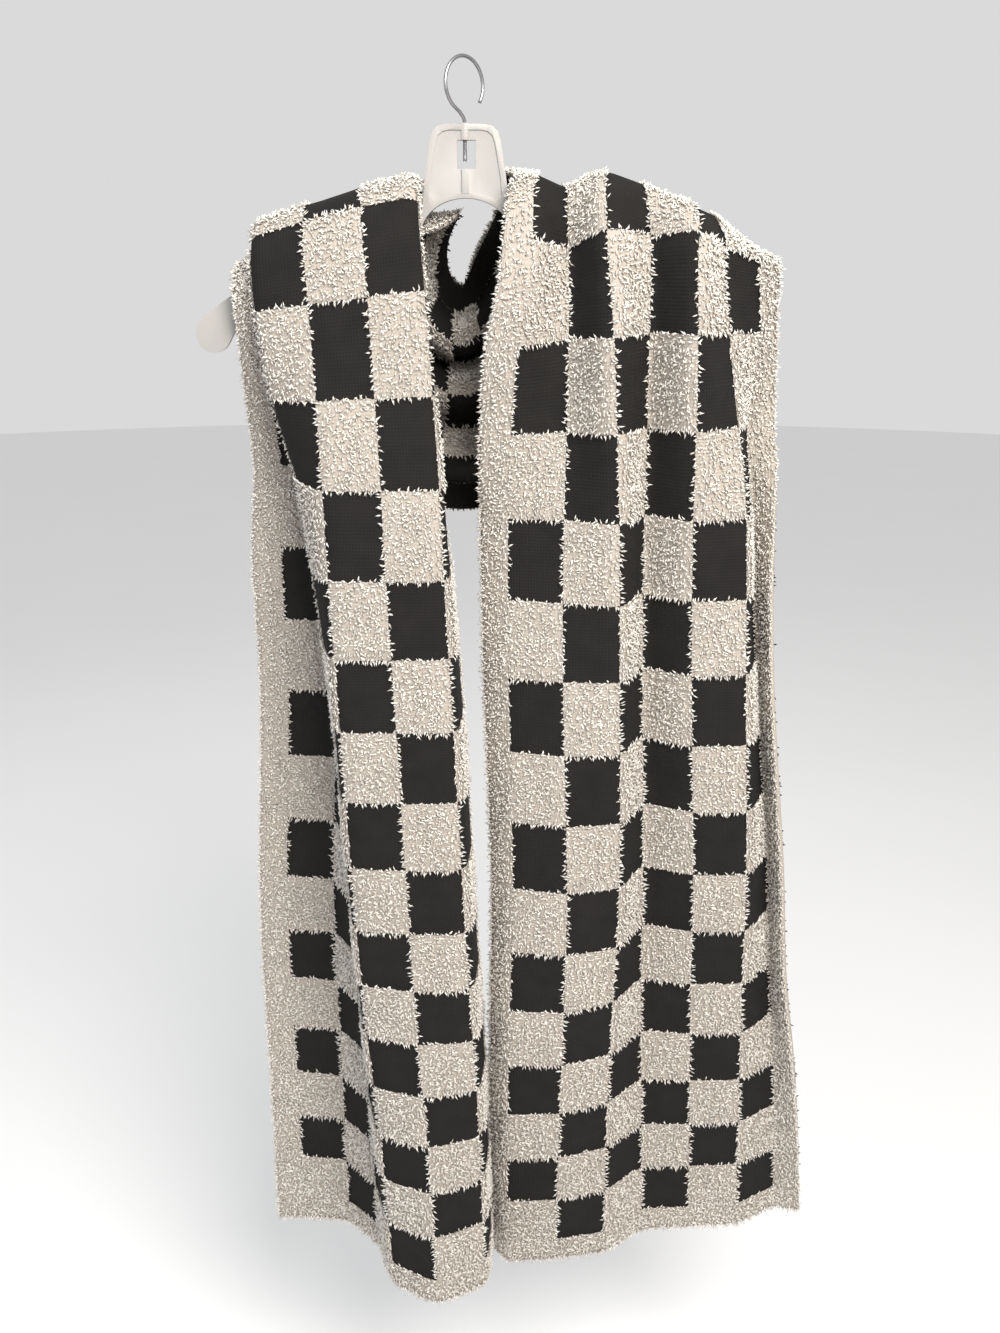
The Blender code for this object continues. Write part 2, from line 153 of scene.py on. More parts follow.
# One row for each station of the strip, as in the solids, in millimetres and degrees:
# row, x, y, z, tilt, bend, face, width, inner, outer, and the turns of the eight bands
STATIONS = (
    (-0.48, -68, -74, -999, 0, 0, 0, 1.00, 1.0, 1.0, (104, 86, 28, -30, -72, -44, -6, 0)),
    (3.0, -77, -68, -845, 0, 0, 0, 1.00, 1.0, 1.0, (104, 86, 18, -22, -78, -50, -8, 0)),
    (5.0, -85, -63, -750, 0, 0, 0, 1.00, 1.0, 1.0, (104, 86, 5, -15, -82, -56, -8, 0)),
    (7.0, -91, -60, -651, 0, 0, 0, 0.99, 1.0, 1.0, (104, 86, 0, -8, -84, -64, -8, 0)),
    (10.0, -98, -55, -481, 0, 0, -2, 0.97, 1.0, 1.0, (104, 87, 0, 0, -80, -90, -6, 0)),
    (12.0, -103, -50, -362, 0, 0, -5, 0.96, 1.0, 1.0, (108, 92, 0, 0, -68, -108, -5, 0)),
    (13.0, -105, -45, -295, 0, 0, -6, 0.95, 1.0, 0.9, (118, 102, 0, 0, -55, -126, -4, 0)),
    (14.0, -108, -40, -231, -2, 0, -4, 0.94, 0.9, 0.8, (135, 120, 0, 5, -28, -150, -4, 0)),
    (15.0, -111, -37, -164, -7, 0, 4, 0.94, 0.75, 0.7, (165, 155, 5, 0, -4, -174, 0, 0)),
    (15.8, -113, -32, -118, -13, 0, 40, 0.935, 0.65, 0.74, (178, 176, 5, 0, -2, -170, 4, -5)),
    (16.5, -113, -4, -98, -17, 0, 90, 0.935, 0.65, 0.74, (180, 180, 5, 0, 0, -170, 4, -10)),
    (17.3, -104, 47, -124, -32, 0, 140, 0.94, 0.6, 0.72, (115, 105, 30, -20, 0, -165, 0, 0)),
    (18.6, -66, 64, -193, -55, 0, 168, 0.95, 0.9, 0.9, (20, -50, 76, -66, 56, -80, 50, 0)),
    (20.3, -6, 66, -236, -90, 0, 180, 0.97, 1.0, 1.0, (0, -70, 80, -72, 56, -80, 60, 0)),
    (22.0, 60, 62, -190, -130, 0, 192, 0.95, 1.0, 1.0, (30, -70, 78, -66, 60, -70, 64, 10)),
    (23.3, 106, 42, -116, -166, 16, 225, 0.84, 1.0, 0.9, (0, -72, 72, -52, 34, 0, 10, 0)),
    (24.3, 125, -2, -84, -181, 27, 270, 0.62, 0.85, 1.0, (0, -24, 24, -20, 0, 10, -14, -14)),
    (24.7, 130, -16, -97, -184, 24, 320, 0.76, 0.95, 0.8, (0, -46, 46, -32, 24, -28, -8, -10)),
    (25.2, 133, -18, -131, -188, 14, 352, 0.90, 1.0, 0.74, (0, -52, 58, -46, 50, -52, -16, -16)),
    (26.0, 134, -17, -184, -185, 6, 360, 0.95, 1.0, 0.82, (0, -30, 54, -58, 50, -50, -38, -40)),
    (27.0, 136, -7, -254, -182, 2, 360, 0.95, 1.0, 1.0, (8, -8, 42, -63, 46, -38, -74, 0)),
    (28.0, 137, 0, -322, -180, 0, 360, 0.96, 1.0, 1.0, (26, 8, 26, -68, 42, -14, -80, 50)),
    (30.0, 140, 0, -447, -180, 0, 360, 0.97, 1.0, 1.0, (36, 14, 4, -68, 36, -4, -74, 74)),
    (33.0, 147, 0, -626, -180, 0, 360, 0.99, 1.0, 1.0, (46, 12, -12, -64, 24, 0, -60, 76)),
    (35.0, 149, 0, -737, -180, 0, 360, 1.00, 1.0, 1.0, (52, 4, -20, -56, 12, 0, -50, 74)),
    (37.0, 153, 0, -842, -181, 0, 360, 1.00, 1.0, 1.0, (54, 0, -18, -46, 5, 0, -38, 56)),
    (40.48, 160, 0, -1011, -184, 0, 360, 1.00, 1.0, 1.0, (60, 0, -6, -34, 0, 0, -27, 20)),
)

# The hook's wire in the hook's own plane, in millimetres and degrees. The stem's points are given sideways
# and upwards, and the curve follows them
HOOK_RADIUS = 18.0
HOOK_TURN = 45.0
HOOK_ENDS = (238, -35)
HOOK_STEPS = 48
STEM = ((0.0, -67.0), (0.0, -60.0), (0.0, -55.0), (0.0, -48.0), (0.0, -41.0), (-1.0, -38.3), (-4.8, -34.8))

# The rough lower end of the wire, in metres: the pitch of its ridges and the height below which they are
RIDGE_PITCH = 0.0008
RIDGES_BELOW = -0.053

# Points that are closer than this are one, on the wire and on the hanger's moulding, in metres
WIRE_WELD = 0.000001
HANGER_WELD = 0.00001

# The moulding's faces within the first angle, in degrees, are one flat face, and its edges past the second
# one are rounded
FLAT_ANGLE = 1.5
SHARP_ANGLE = 35

# The studio, in metres and degrees, with the camera's sensor in millimetres. A light has a name, a place,
# a size, the setting that holds its power, and a colour
FLOOR_RADIUS = 9.0
AIR_STRENGTH = 0.70
CAMERA_PLACE = (0.025, -0.926, -0.145)
CAMERA_TILT = 18
SENSOR_WIDTH = 36.0
LIGHTS_AIM = (0.03, 0.0, -0.5)
LIGHTS = (
    ("Key", (0.5, -1.1, 0.6), 0.8, "key_power", (1.0, 0.97, 0.92)),
    ("Low", (0.3, -1.2, -1.2), 0.8, "low_power", (1.0, 0.60, 0.35)),
    ("Fill", (-1.6, -1.3, 0.1), 1.2, "fill_power", (0.70, 0.85, 1.0)),
    ("Back", (-0.6, 1.8, 0.8), 1.0, "fill_power", (1.0, 1.0, 1.0)),
)


class ScarfSettings(bpy.types.PropertyGroup):
    cloth_thickness: FloatProperty(
        name="Cloth thickness", description="Thickness of the knit without its pile", default=0.0034,
        min=0.001, max=0.006, unit="LENGTH",
    )
    strand_length: FloatProperty(
        name="Strand length", description="Length of a strand of the cream pile", default=0.0056,
        min=0.002, max=0.012, unit="LENGTH",
    )
    strand_width: FloatProperty(
        name="Strand width", description="Thickness of a strand of the cream pile", default=0.0018,
        min=0.0004, max=0.003, unit="LENGTH",
    )
    strand_spacing: FloatProperty(
        name="Strand spacing", description="Distance between strands on the side that is seen most",
        default=0.0021, min=0.0015, max=0.006, unit="LENGTH",
    )
    cream: FloatVectorProperty(
        name="Cream yarn", description="Colour of the tips of the pile", default=(0.97, 0.94, 0.885),
        size=3, min=0.0, max=1.0, subtype="COLOR",
    )
    # Painted shade: the cream yarn darkened to stand for the shade deep down between the strands, on their
    # roots and on the ground under the pile
    cream_painted_shade: FloatVectorProperty(
        name="Cream yarn, roots", description="Colour down between the strands", default=(0.36, 0.32, 0.28),
        size=3, min=0.0, max=1.0, subtype="COLOR",
    )
    dark: FloatVectorProperty(
        name="Dark yarn", description="Colour of the smooth dark checks", default=(0.0090, 0.0082, 0.0078),
        size=3, min=0.0, max=1.0, subtype="COLOR",
    )


class HangerSettings(bpy.types.PropertyGroup):
    edge_radius: FloatProperty(
        name="Edge radius", description="Rounding of the moulded edges", default=0.0007,
        min=0.0001, max=0.002, unit="LENGTH",
    )
    plastic: FloatVectorProperty(
        name="Plastic", description="Colour of the milky plastic", default=(0.38, 0.36, 0.335),
        size=3, min=0.0, max=1.0, subtype="COLOR",
    )
    wire_thickness: FloatProperty(
        name="Wire thickness", description="Diameter of the hook's wire", default=0.0026,
        min=0.002, max=0.004, unit="LENGTH",
    )
    steel: FloatVectorProperty(
        name="Steel", description="Colour of the wire", default=(0.42, 0.42, 0.43),
        size=3, min=0.0, max=1.0, subtype="COLOR",
    )


class StudioSettings(bpy.types.PropertyGroup):
    floor_colour: FloatVectorProperty(
        name="Floor", description="Colour of the floor", default=(0.84, 0.84, 0.84),
        size=3, min=0.0, max=1.0, subtype="COLOR",
    )
    floor_drop: FloatProperty(
        name="Floor drop", description="How far the floor lies below the hems", default=0.25,
        min=0.0, max=2.0, unit="LENGTH",
    )
    key_power: FloatProperty(
        name="Key light", description="Power of the warm light in front on the right", default=38.0,
        min=0.0, max=500.0, unit="POWER",
    )
    low_power: FloatProperty(
        name="Low light", description="Power of the warm light near the hems", default=1.5,
        min=0.0, max=500.0, unit="POWER",
    )
    fill_power: FloatProperty(
        name="Fill light", description="Power of the cooler light on the left, and of the one behind",
        default=7.0, min=0.0, max=500.0, unit="POWER",
    )
    lens: FloatProperty(
        name="Lens", description="Focal length of the camera in millimetres", default=32.41,
        min=10.0, max=200.0, unit="CAMERA",
    )


class Value:
    """A value in a shader. Arithmetic on it adds Math nodes."""

    def __init__(self, shader, socket):
        self.shader = shader
        self.socket = socket

    def math(self, operation, first, second=0.0):
        return self.shader.node("ShaderNodeMath", {"operation": operation}, {0: first, 1: second})

    def __add__(self, other):
        return self.math("ADD", self, other)

    def __radd__(self, other):
        return self.math("ADD", other, self)

    def __sub__(self, other):
        return self.math("SUBTRACT", self, other)

    def __rsub__(self, other):
        return self.math("SUBTRACT", other, self)

    def __mul__(self, other):
        return self.math("MULTIPLY", self, other)

    def __rmul__(self, other):
        return self.math("MULTIPLY", other, self)

    def __truediv__(self, other):
        return self.math("DIVIDE", self, other)

    def __mod__(self, other):
        return self.math("FLOORED_MODULO", self, other)

    def floor(self):
        return self.math("FLOOR", self)

    def sine(self):
        return self.math("SINE", self)

    def above(self, limit):
        return self.math("GREATER_THAN", self, limit)

    def below(self, limit):
        return self.math("LESS_THAN", self, limit)


class Shader:
    """A material with one Principled surface, and its nodes."""

    def __init__(self, name, **constants):
        self.material = bpy.data.materials.new(name)
        self.material.use_nodes = True
        self.tree = self.material.node_tree
        self.surface = self.tree.nodes["Principled BSDF"]
        for socket, value in constants.items():
            self.surface.inputs[socket.replace("_", " ")].default_value = value

    def node(self, kind, settings, inputs, output=0):
        """Adds a node, with its settings first and then what its sockets hold, and gives one output."""
        made = self.tree.nodes.new(kind)
        for name, value in settings.items():
            setattr(made, name, value)
        for place, value in inputs.items():
            self.feed(made.inputs[place], value)
        return Value(self, made.outputs[output])

    def feed(self, socket, value):
        """Links a value of this shader to a socket, or sets the socket to a number or a colour."""
        if isinstance(value, Value):
            self.tree.links.new(value.socket, socket)
        else:
            socket.default_value = value

    def noise(self, scale, detail=2.0, stretch=(1.0, 1.0, 1.0)):
        """Soft noise on the piece's own coordinates, 0 to 1. The scale is in features to a metre."""
        place = self.node("ShaderNodeTexCoord", {}, {}, "Object")
        place = self.node("ShaderNodeMapping", {}, {"Vector": place, "Scale": stretch})
        return self.node("ShaderNodeTexNoise", {}, {"Vector": place, "Scale": scale, "Detail": detail})

    def mix(self, share, first, second):
        """A colour between two colours. Colours have the sockets 6 and 7 and the output 2 of their node."""
        first, second = ((*c, 1.0) if isinstance(c, tuple) else c for c in (first, second))
        return self.node("ShaderNodeMix", {"data_type": "RGBA"}, {0: share, 6: first, 7: second}, 2)

    def bump(self, height, distance, strength):
        """A normal from a height, of which 1 stands for the distance in metres."""
        inputs = {"Strength": strength, "Distance": distance, "Height": height}
        return self.node("ShaderNodeBump", {}, inputs)

    def use(self, **links):
        """Links values to the surface. A space in a socket's name is written as an underscore."""
        for socket, value in links.items():
            self.feed(self.surface.inputs[socket.replace("_", " ")], value)


def smooth(t):
    """A step from 0 to 1 with level ends."""
    t = min(max(t, 0.0), 1.0)
    return t * t * (3.0 - 2.0 * t)


def station_values(row):
    """The table read at any row of checks, on a smooth curve through its stations."""
    rows = [station[0] for station in STATIONS]
    last = len(rows) - 2
    i = next((n for n in range(last + 1) if row < rows[n + 1]), last)
    near = STATIONS[max(i - 1, 0)], STATIONS[i], STATIONS[i + 1], STATIONS[min(i + 2, last + 1)]
    before, start, end, after = [list(station[1:-1]) + list(station[-1]) for station in near]
    span = rows[i + 1] - rows[i]
    t = (row - rows[i]) / span
    values = []
    for k in range(len(start)):
        rise_in = (end[k] - before[k]) / (rows[i + 1] - rows[max(i - 1, 0)])
        rise_out = (after[k] - start[k]) / (rows[min(i + 2, last + 1)] - rows[i])
        values.append(
            (2 * t**3 - 3 * t**2 + 1) * start[k]
            + (t**3 - 2 * t**2 + t) * span * rise_in
            + (3 * t**2 - 2 * t**3) * end[k]
            + (t**3 - t**2) * span * rise_out
        )
    return values


def turn_at(across, turns):
    """The turn of the strip at a distance across it, which passes from band to band in soft folds."""
    middle = BANDS[0] / 2
    if across <= middle:
        return turns[0]
    for k in range(len(BANDS) - 1):
        seam = middle + BANDS[k] / 2
        following = seam + BANDS[k + 1] / 2
        if across <= following:
            reach = FOLD_SHARE * min(seam - middle, following - seam)
            t = (across - seam + reach) / (2 * reach)
            return turns[k] + (turns[k + 1] - turns[k]) * smooth(t)
        middle = following
    return turns[-1]


def section(row):
    """The points across the strip at one row, from the inner edge to the outer one, in millimetres."""
    x, y, z, tilt, bend, face, width, inner, outer, *turns = station_values(row)
    face = math.radians(face)
    steps = CELLS_ACROSS * CELL_STEPS
    step = STRIP_WIDTH / steps
    points = [Vector((0.0, 0.0, 0.0))]
    for n in range(steps):
        place = (n + 0.5) * step
        lean = math.radians(tilt + bend * smooth((place - STRIP_WIDTH / 2) / BUNCH_FADE + 0.5))
        across = Vector((-math.cos(lean), 0.0, math.sin(lean)))
        upward = Vector((math.sin(lean), 0.0, math.cos(lean)))
        outward = Vector((0.0, -math.cos(face), 0.0)) + upward * math.sin(face)
        turn = math.radians(turn_at(place, turns))
        drawn = 1.0 - (1.0 - inner) * smooth((INNER_BUNCH - place) / BUNCH_FADE + 0.5)
        drawn -= (1.0 - outer) * smooth((place - OUTER_BUNCH) / BUNCH_FADE + 0.5)
        move = (across * math.cos(turn) + outward * math.sin(turn)) * step * width * drawn
        points.append(points[-1] + move)
    half = points[steps // 2]
    return [Vector((x, y, z)) + point - half for point in points[::CELL_STEPS]]


class Lattice:
    """The strip's middle surface as a lattice of places, with the directions at each."""

    def __init__(self):
        rows = [-HEM + (ROWS + 2 * HEM) * n / CELLS_ALONG for n in range(CELLS_ALONG + 1)]
        self.places = np.array([section(row) for row in rows]) * MM
        self.across = np.gradient(self.places, axis=1)
        self.along = np.gradient(self.places, axis=0)
        self.normals = np.cross(self.along, self.across)

    def read(self, table, across, along):
        """Values of one of the tables at places on the strip, in millimetres from its corner.

        A place on a far edge is read just inside the last cell."""
        inside = 1e-6
        i = np.clip(across / STRIP_WIDTH * CELLS_ACROSS, 0, CELLS_ACROSS - inside)
        j = np.clip(along / STRIP_LENGTH * CELLS_ALONG, 0, CELLS_ALONG - inside)
        i0, j0 = i.astype(int), j.astype(int)
        fi, fj = (i - i0)[:, None], (j - j0)[:, None]
        low = table[j0, i0] * (1 - fi) + table[j0, i0 + 1] * fi
        high = table[j0 + 1, i0] * (1 - fi) + table[j0 + 1, i0 + 1] * fi
        return low * (1 - fj) + high * fj


@functools.lru_cache
def strip_lattice():
    """The one lattice that the cloth and its pile share."""
    return Lattice()


def unit(vectors):
    """Vectors brought to a length of 1, apart from those that have none."""
    return vectors / np.maximum(np.linalg.norm(vectors, axis=1, keepdims=True), 1e-12)


def dark_on_front(across, along):
    """Whether the front is dark at a place on the strip, in millimetres from its corner."""
    column = np.floor((across - BORDER) / CHECK_WIDTH)
    row = np.floor((along - BORDER) / CHECK_HEIGHT)
    inside = (column >= 0) & (column < COLUMNS) & (row >= 0) & (row < ROWS)
    return inside & ((column + row) % 2 == 0)


def towards_edges(cream):
    """For each square millimetre of a cream area, how the pile leans towards the nearest edge."""
    kernel = np.hanning(2 * LEAN_REACH + 1)
    kernel = kernel / kernel.sum()
    soft = np.pad(cream.astype(float), LEAN_REACH)
    for axis in (0, 1):
        soft = np.apply_along_axis(np.convolve, axis, soft, kernel, "same")
    along, across = np.gradient(-soft)
    trim = slice(LEAN_REACH, -LEAN_REACH)
    return across[trim, trim], along[trim, trim]


def strand_shape():
    """One strand: a slim closed spindle with three sides. Returns its points and its faces."""
    shape = bmesh.new()
    bmesh.ops.create_uvsphere(shape, u_segments=3, v_segments=2, radius=1.0)
    bmesh.ops.triangulate(shape, faces=shape.faces)
    points = np.array([vert.co for vert in shape.verts])
    faces = np.array([[vert.index for vert in face.verts] for face in shape.faces])
    shape.free()
    return points, faces


def scatter(first, last, spacing, random):
    """Places spread evenly but loosely between two rows, in millimetres from the strip's corner."""
    start = first * CHECK_HEIGHT + BORDER
    length = (last - first) * CHECK_HEIGHT
    i, j = np.meshgrid(np.arange(int(STRIP_WIDTH / spacing)), np.arange(int(length / spacing)))
    across = (i.ravel() + random.random(i.size)) * spacing
    along = start + (j.ravel() + random.random(i.size)) * spacing
    return across, along


def strands_at(lattice, random, across, along, face, lean, settings):
    """Each strand's root, the line to its tip, its side, its lift, its width and its tone."""
    count = len(across)
    normal = unit(lattice.read(lattice.normals, across, along)) * face
    right = unit(lattice.read(lattice.across, across, along))
    forward = unit(lattice.read(lattice.along, across, along))
    height = settings.cloth_thickness / 2 - ROOT_DEPTH
    root = lattice.read(lattice.places, across, along) + normal * height
    rows, columns = lean[0].shape
    cell = np.clip(along.astype(int), 0, rows - 1), np.clip(across.astype(int), 0, columns - 1)
    outward = right * lean[0][cell][:, None] + forward * lean[1][cell][:, None]
    down = np.array([0.0, 0.0, -1.0]) + normal * normal[:, 2:3]
    wander = random.random(count) * 2 * math.pi
    loose = right * np.cos(wander)[:, None] + forward * np.sin(wander)[:, None]
    flat = unit(outward * LEAN_OUT + down * LEAN_DOWN + loose * LEAN_ASTRAY)
    rise = np.radians(random.uniform(*STRAND_RISE, count))[:, None]
    length = settings.strand_length * random.uniform(*STRAND_LENGTHS, count)[:, None]
    line = (flat * np.cos(rise) + normal * np.sin(rise)) * length
    side = unit(np.cross(flat, normal))
    width = settings.strand_width / 2 * random.uniform(*STRAND_WIDTHS, (count, 1))
    tone = random.uniform(*STRAND_TONES, (count, 1))
    return root, line, side, normal, width, tone


def strand_mesh(name, strands, finish):
    """One piece from many strands, each a copy of the same spindle."""
    root, line, side, lift, width, tone = (part[:, None, :] for part in strands)
    points, faces = strand_shape()
    share = np.where(points[:, 2] > 0.5, 1.0, np.where(points[:, 2] < -0.5, 0.0, STRAND_BELLY))
    share = share[None, :, None]
    places = root + line * share + lift * (4 * share * (1 - share) * STRAND_ARCH)
    around = side * points[None, :, 0:1] + lift * points[None, :, 1:2] * STRAND_FLATNESS
    places = places + around * width
    corners = faces[None, :, :] + (np.arange(len(root)) * len(points))[:, None, None]
    mesh = bpy.data.meshes.new(name)
    mesh.from_pydata(places.reshape(-1, 3), [], corners.reshape(-1, 3))
    # The shade attribute holds painted shade, dark at the root and light at the tip for the shade deep in
    # the pile, plus a real tone that differs at random from strand to strand
    shade = np.clip(share + ROOT_SHADE + tone, 0.0, 1.0).ravel().astype(np.float32)
    mesh.attributes.new("shade", "FLOAT", "POINT").data.foreach_set("value", shade)
    mesh.shade_smooth()
    return place_piece(name, mesh, "knit", finish)


def cream_pile(name, lattice, random, area, settings, finish):
    """The cream pile on a stretch of the strip.

    The area is its first row, its last row, its face, 1 for the front and -1 for the reverse, and the
    distance between strands in millimetres."""
    first, last, face, spacing = area
    x, y = np.meshgrid(np.arange(STRIP_WIDTH) + 0.5, np.arange(STRIP_LENGTH) + 0.5)
    lean = towards_edges(dark_on_front(x, y) == (face < 0))
    across, along = scatter(first, last, spacing, random)
    keep = dark_on_front(across, along) == (face < 0)
    strands = strands_at(lattice, random, across[keep], along[keep], face, lean, settings)
    return strand_mesh(name, strands, finish)


def edge_pile(name, lattice, random, face, spacing, deepest, settings, finish):
    """Strands that stand out from the strip's cut sides, at a spacing in millimetres.

    They are rooted at any depth of the cloth down to the deepest one, in metres."""
    lean = towards_edges(np.ones((int(STRIP_LENGTH), int(STRIP_WIDTH)), dtype=bool))
    across, along = scatter(-HEM, ROWS + HEM, spacing, random)
    inside = np.minimum(across, STRIP_WIDTH - across), np.minimum(along, STRIP_LENGTH - along)
    keep = np.minimum(*inside) < EDGE_REACH
    root, line, side, lift, width, tone = strands_at(
        lattice, random, across[keep], along[keep], face, lean, settings)
    root = root - lift * random.uniform(0.0, deepest, (len(root), 1))
    return strand_mesh(name, (root, line * EDGE_LENGTH, side, lift, width, tone), finish)


def place_piece(name, mesh, slot, *finishes):
    """Puts a mesh in the scene as a piece that rides on the body."""
    for finish in finishes:
        mesh.materials.append(finish)
    piece = bpy.data.objects.new(name, mesh)
    bpy.context.scene.collection.objects.link(piece)
    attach(piece, BODY)
    return piece


def scaled(colour, *factors):
    """A lighter or darker colour, by one factor or by one for each of red, green and blue."""
    factors = factors if len(factors) > 1 else factors * len(colour)
    return tuple(c * factor for c, factor in zip(colour, factors))


def knit_finish(name, reverse, settings):
    """One face of the knit: smooth dark yarn, and the ground that the cream pile stands on, coloured in
    painted shade for the shade down between the strands.
    """
    shader = Shader(name, Roughness=0.95, Specular_IOR_Level=0.2)
    strip = shader.node("ShaderNodeUVMap", {"uv_map": "strip"}, {})
    across, along = (shader.node("ShaderNodeSeparateXYZ", {}, {0: strip}, axis) for axis in (0, 1))
    ragged = shader.noise(CHECK_EDGE_GRAIN)
    across = across * STRIP_WIDTH - BORDER
    along = along * STRIP_LENGTH - BORDER
    column = ((across + ragged * RAGGED_EDGE - RAGGED_EDGE / 2) / CHECK_WIDTH).floor()
    row = ((along - ragged * RAGGED_EDGE + RAGGED_EDGE / 2) / CHECK_HEIGHT).floor()
    inside = (across.above(0.0) * across.below(COLUMNS * CHECK_WIDTH)
              * along.above(0.0) * along.below(ROWS * CHECK_HEIGHT))
    dark = inside * (1.0 - (column + row) % 2.0)
    if reverse:
        dark = 1.0 - dark
    mottle = shader.noise(YARN_GRAIN, detail=3.0)
    yarn = shader.mix(mottle, tuple(settings.dark), scaled(settings.dark, 1.9))
    # The ground under the pile takes the cream yarn in painted shade, for the shade that falls between the
    # strands
    root = tuple(settings.cream_painted_shade)
    ground = shader.mix(shader.noise(GROUND_GRAIN), root, scaled(root, 1.3))
    stitches = (across * (2 * math.pi / STITCH_WIDTH)).sine() * STITCH_RELIEF
    stitches = stitches + (along * (2 * math.pi / STITCH_HEIGHT)).sine() * STITCH_RELIEF
    fuzz = shader.noise(KNIT_GRAIN) * FUZZ_RELIEF
    shader.use(
        Base_Color=shader.mix(dark, ground, yarn),
        Normal=shader.bump(stitches + fuzz, distance=0.00035, strength=0.6),
    )
    return shader.material


def pile_finish(name, root, tip):
    """Strands that are darker at their roots, as painted shade for the shade deep down in the pile."""
    shader = Shader(name, Roughness=0.8, Sheen_Weight=0.2, Sheen_Roughness=0.5)
    shade = shader.node("ShaderNodeAttribute", {"attribute_name": "shade"}, {}, "Fac")
    tips = shader.mix(shader.noise(TIP_GRAIN), tuple(tip), scaled(tip, 0.95, 0.93, 0.90))
    shader.use(
        Base_Color=shader.mix(shade, tuple(root), tips),
        Normal=shader.bump(shader.noise(STRAND_GRAIN), distance=0.0003, strength=0.5),
    )
    return shader.material


class SCARF_OT_cloth(bpy.types.Operator):
    """The knit itself: one strip in two faces, which replaces the three solids of the scarf"""

    bl_idname = "scarf.cloth"
    bl_label = "Knitted cloth"

    def execute(self, context):
        settings = context.scene.scarf
        lattice = strip_lattice()
        grid = bmesh.new()
        bmesh.ops.create_grid(grid, x_segments=CELLS_ACROSS, y_segments=CELLS_ALONG, size=0.5)
        strip = grid.loops.layers.uv.new("strip")
        for face in grid.faces:
            for loop in face.loops:
                loop[strip].uv = (loop.vert.co.x + 0.5, loop.vert.co.y + 0.5)
        for vert in grid.verts:
            i = round((vert.co.x + 0.5) * CELLS_ACROSS)
            j = round((vert.co.y + 0.5) * CELLS_ALONG)
            vert.co = lattice.places[j, i]
        bmesh.ops.reverse_faces(grid, faces=grid.faces)
        mesh = bpy.data.meshes.new("scarf_cloth")
        grid.to_mesh(mesh)
        grid.free()
        mesh.shade_smooth()
        front = knit_finish("Knit, front", False, settings)
        reverse = knit_finish("Knit, reverse", True, settings)
        cloth = place_piece("scarf_cloth", mesh, "knit", front, reverse)
        wall = cloth.modifiers.new("Wall", "SOLIDIFY")
        wall.thickness = settings.cloth_thickness
        wall.offset = 0.0
        wall.material_offset = 1
        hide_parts("scarf_left_end", "scarf_back", "scarf_right_end")
        return {"FINISHED"}


class SCARF_OT_pile(bpy.types.Operator):
    """The fuzzy cream pile on both faces, and the dark yarn's loose strands along the edges"""

    bl_idname = "scarf.pile"
    bl_label = "Pile"

    def execute(self, context):
        settings = context.scene.scarf
        lattice = strip_lattice()
        near = settings.strand_spacing / MM
        cowl_front, cowl_reverse, hidden = near * 1.2, near * 1.1, near * 1.4
        # The front's dense pile reaches past the ridges, and the reverse's sparse pile stops before them
        over_left, over_right = LEFT_RIDGE + 1.5, RIGHT_RIDGE - 1.0
        below_left, below_right = LEFT_RIDGE - 1.0, RIGHT_RIDGE + 1.0
        areas = {
            "pile_left_low": (-HEM, LEFT_PARTING, 1, near),
            "pile_left_high": (LEFT_PARTING, over_left, 1, near),
            "pile_right_high": (over_right, RIGHT_PARTING, 1, near),
            "pile_right_low": (RIGHT_PARTING, ROWS + HEM, 1, near),
            "pile_cowl_front": (over_left, over_right, 1, cowl_front),
            "pile_cowl_reverse": (below_left, below_right, -1, cowl_reverse),
            "pile_reverse_left": (-HEM, below_left, -1, hidden),
            "pile_reverse_right": (below_right, ROWS + HEM, -1, hidden),
        }
        cream = pile_finish("Cream pile", settings.cream_painted_shade, settings.cream)
        dark = pile_finish("Dark loose strands", settings.dark, scaled(settings.dark, 2))
        random = np.random.default_rng(PILE_SEED)
        pieces = [cream_pile(name, lattice, random, area, settings, cream) for name, area in areas.items()]
        pieces.append(edge_pile(
            "pile_edge_cream", lattice, random, face=1, spacing=1.2, deepest=0.0018, settings=settings,
            finish=cream))
        pieces.append(edge_pile(
            "pile_edge_dark", lattice, random, face=-1, spacing=2.4, deepest=0.0010, settings=settings,
            finish=dark))
        return {"FINISHED"}


class SCARF_OT_hanger(bpy.types.Operator):
    """The moulded plastic hanger with softened edges"""

    bl_idname = "scarf.hanger"
    bl_label = "Plastic hanger"

    def execute(self, context):
        settings = context.scene.scarf_hanger
        body = bmesh.new()
        body.from_mesh(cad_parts["hanger_body"].data)
        bmesh.ops.remove_doubles(body, verts=body.verts, dist=HANGER_WELD)
        bmesh.ops.dissolve_limit(
            body, angle_limit=math.radians(FLAT_ANGLE), verts=body.verts, edges=body.edges)
        mesh = bpy.data.meshes.new("hanger_moulding")
        body.to_mesh(mesh)
        body.free()
        shader = Shader("Milky plastic", Subsurface_Weight=0.15, Subsurface_Scale=0.003, IOR=1.45)
        cloud = shader.noise(PLASTIC_GRAIN)
        plastic = tuple(settings.plastic)
        shader.use(
            Base_Color=shader.mix(cloud, plastic, scaled(plastic, 0.93, 0.96, 1.0)),
            Roughness=0.42 + cloud * 0.12,
            Normal=shader.bump(shader.noise(MOULD_GRAIN), distance=0.0002, strength=0.25),
        )
        hanger = place_piece("hanger_moulding", mesh, "hanger_plastic", shader.material)
        soft = hanger.modifiers.new("Soft edges", "BEVEL")
        soft.width = settings.edge_radius
        soft.segments = 3
        soft.limit_method = "ANGLE"
        soft.angle_limit = math.radians(SHARP_ANGLE)
        mesh.shade_smooth()
        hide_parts("hanger_body")
        return {"FINISHED"}


